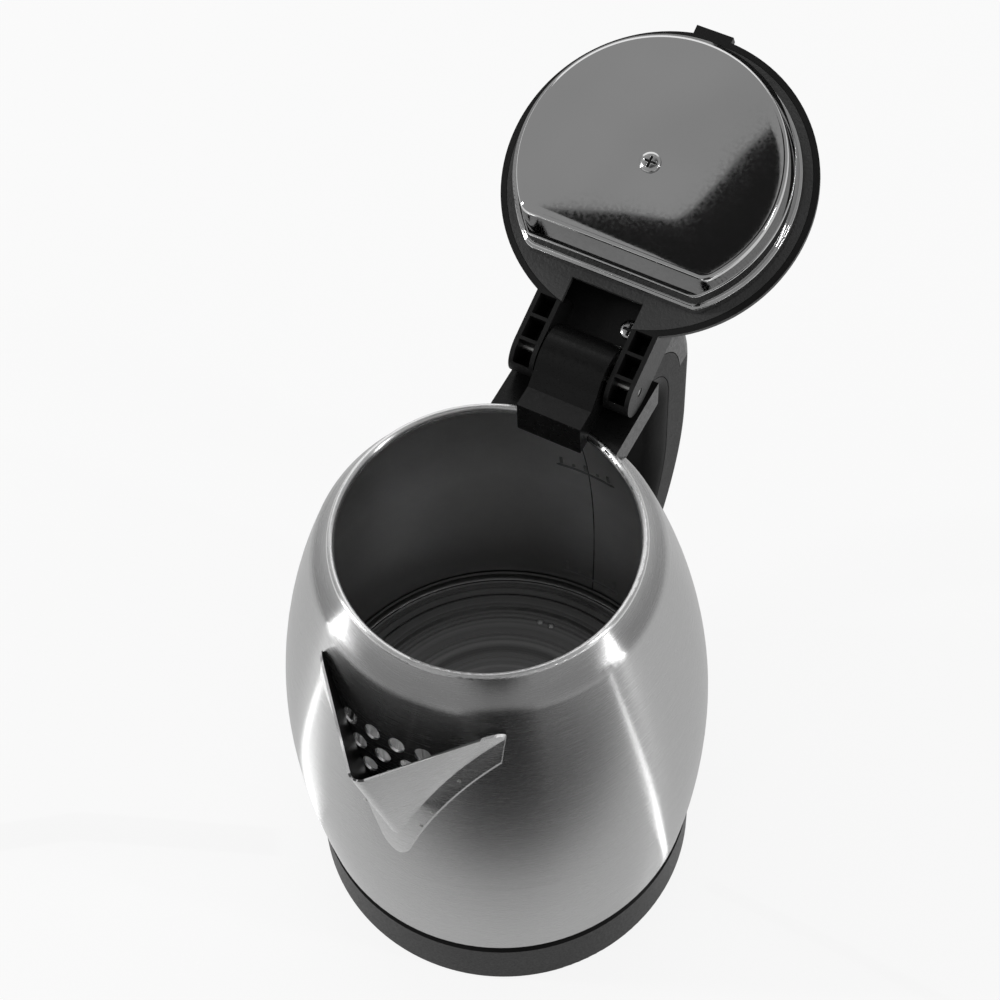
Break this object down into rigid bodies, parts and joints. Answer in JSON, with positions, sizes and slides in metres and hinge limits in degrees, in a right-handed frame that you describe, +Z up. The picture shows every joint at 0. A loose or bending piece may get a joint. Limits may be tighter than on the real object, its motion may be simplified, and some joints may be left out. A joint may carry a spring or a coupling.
{
  "type": "electric kettle",
  "caption": "Cordless electric kettle with a brushed steel vessel, V spout with strainer, black handle and base, and a hinged lid shown open.",
  "frame": {"origin": "on the vessel's axis at the plane of the table, in the mouth of the socket under the base", "axes": "+Z up along the vessel's axis, +Y towards the handle, -Y towards the spout, +X to the right of the handle"},
  "size_m": [0.1512, 0.2677, 0.2825],
  "materials": {
    "vessel_steel": "fine brushed",
    "polished_steel": "polished",
    "plain_steel": "plain",
    "spreader_alloy": "matt cast",
    "element_sheath": "matt drawn",
    "contact_brass": "bright",
    "bimetal": "bright",
    "handle_black": "fine texture",
    "satin_black": "satin",
    "base_black": "satin",
    "lid_black": "fine texture",
    "control_plastic": "plain",
    "tube_plastic": "plain",
    "lead_insulation": "plain"
  },
  "bodies": {
    "kettle": {"body_shell": "vessel_steel", "spout_beak": "vessel_steel", "floor_plate": "vessel_steel", "heat_spreader": "spreader_alloy", "heating_element": "element_sheath", "element_terminals": "plain_steel", "base_skirt": "base_black", "bottom_cover": "base_black", "bottom_screws": "plain_steel", "coupler_socket": "control_plastic", "coupler_contacts": "contact_brass", "control_body": "control_plastic", "bimetal_discs": "bimetal", "control_screws": "plain_steel", "hinge_bracket": "handle_black", "upper_mount": "plain_steel", "bracket_screws": "polished_steel", "hinge_pin": "plain_steel", "steam_tube": "tube_plastic", "handle_head": "satin_black", "handle_grip": "handle_black", "handle_front_cover": "handle_black", "lower_mount": "plain_steel", "handle_screw": "plain_steel", "rocker_pin": "plain_steel", "lever_pin": "plain_steel", "steam_switch": "control_plastic", "steam_bimetal": "bimetal", "live_lead": "lead_insulation", "switch_lead": "lead_insulation", "neutral_lead": "lead_insulation", "earth_lead": "lead_insulation"},
    "lid": {"lid_cover": "lid_black", "lid_inner_plate": "lid_black", "lid_liner": "polished_steel", "lid_screw": "polished_steel", "lid_plate_screw": "polished_steel"},
    "rocker": {"rocker_switch": "satin_black"},
    "trip": {"trip_lever": "control_plastic"}
  },
  "joints": [
    {"name": "lid_hinge", "type": "hinge", "parent": "kettle", "child": "lid", "pos_m": [0, 0.0665, 0.2155], "axis": [1, 0, 0], "range_deg": [0, 158]},
    {"name": "rocker_tilt", "type": "hinge", "parent": "kettle", "child": "rocker", "pos_m": [0, 0.09049, 0.05619], "axis": [1, 0, 0], "range_deg": [0, 14]},
    {"name": "lever_tilt", "type": "hinge", "parent": "kettle", "child": "trip", "pos_m": [0, 0.08207, 0.06326], "axis": [1, 0, 0], "range_deg": [-14, 0]}
  ],
  "couplings": [
    {"joint": "lever_tilt", "follows": "rocker_tilt", "ratio": -1}
  ]
}
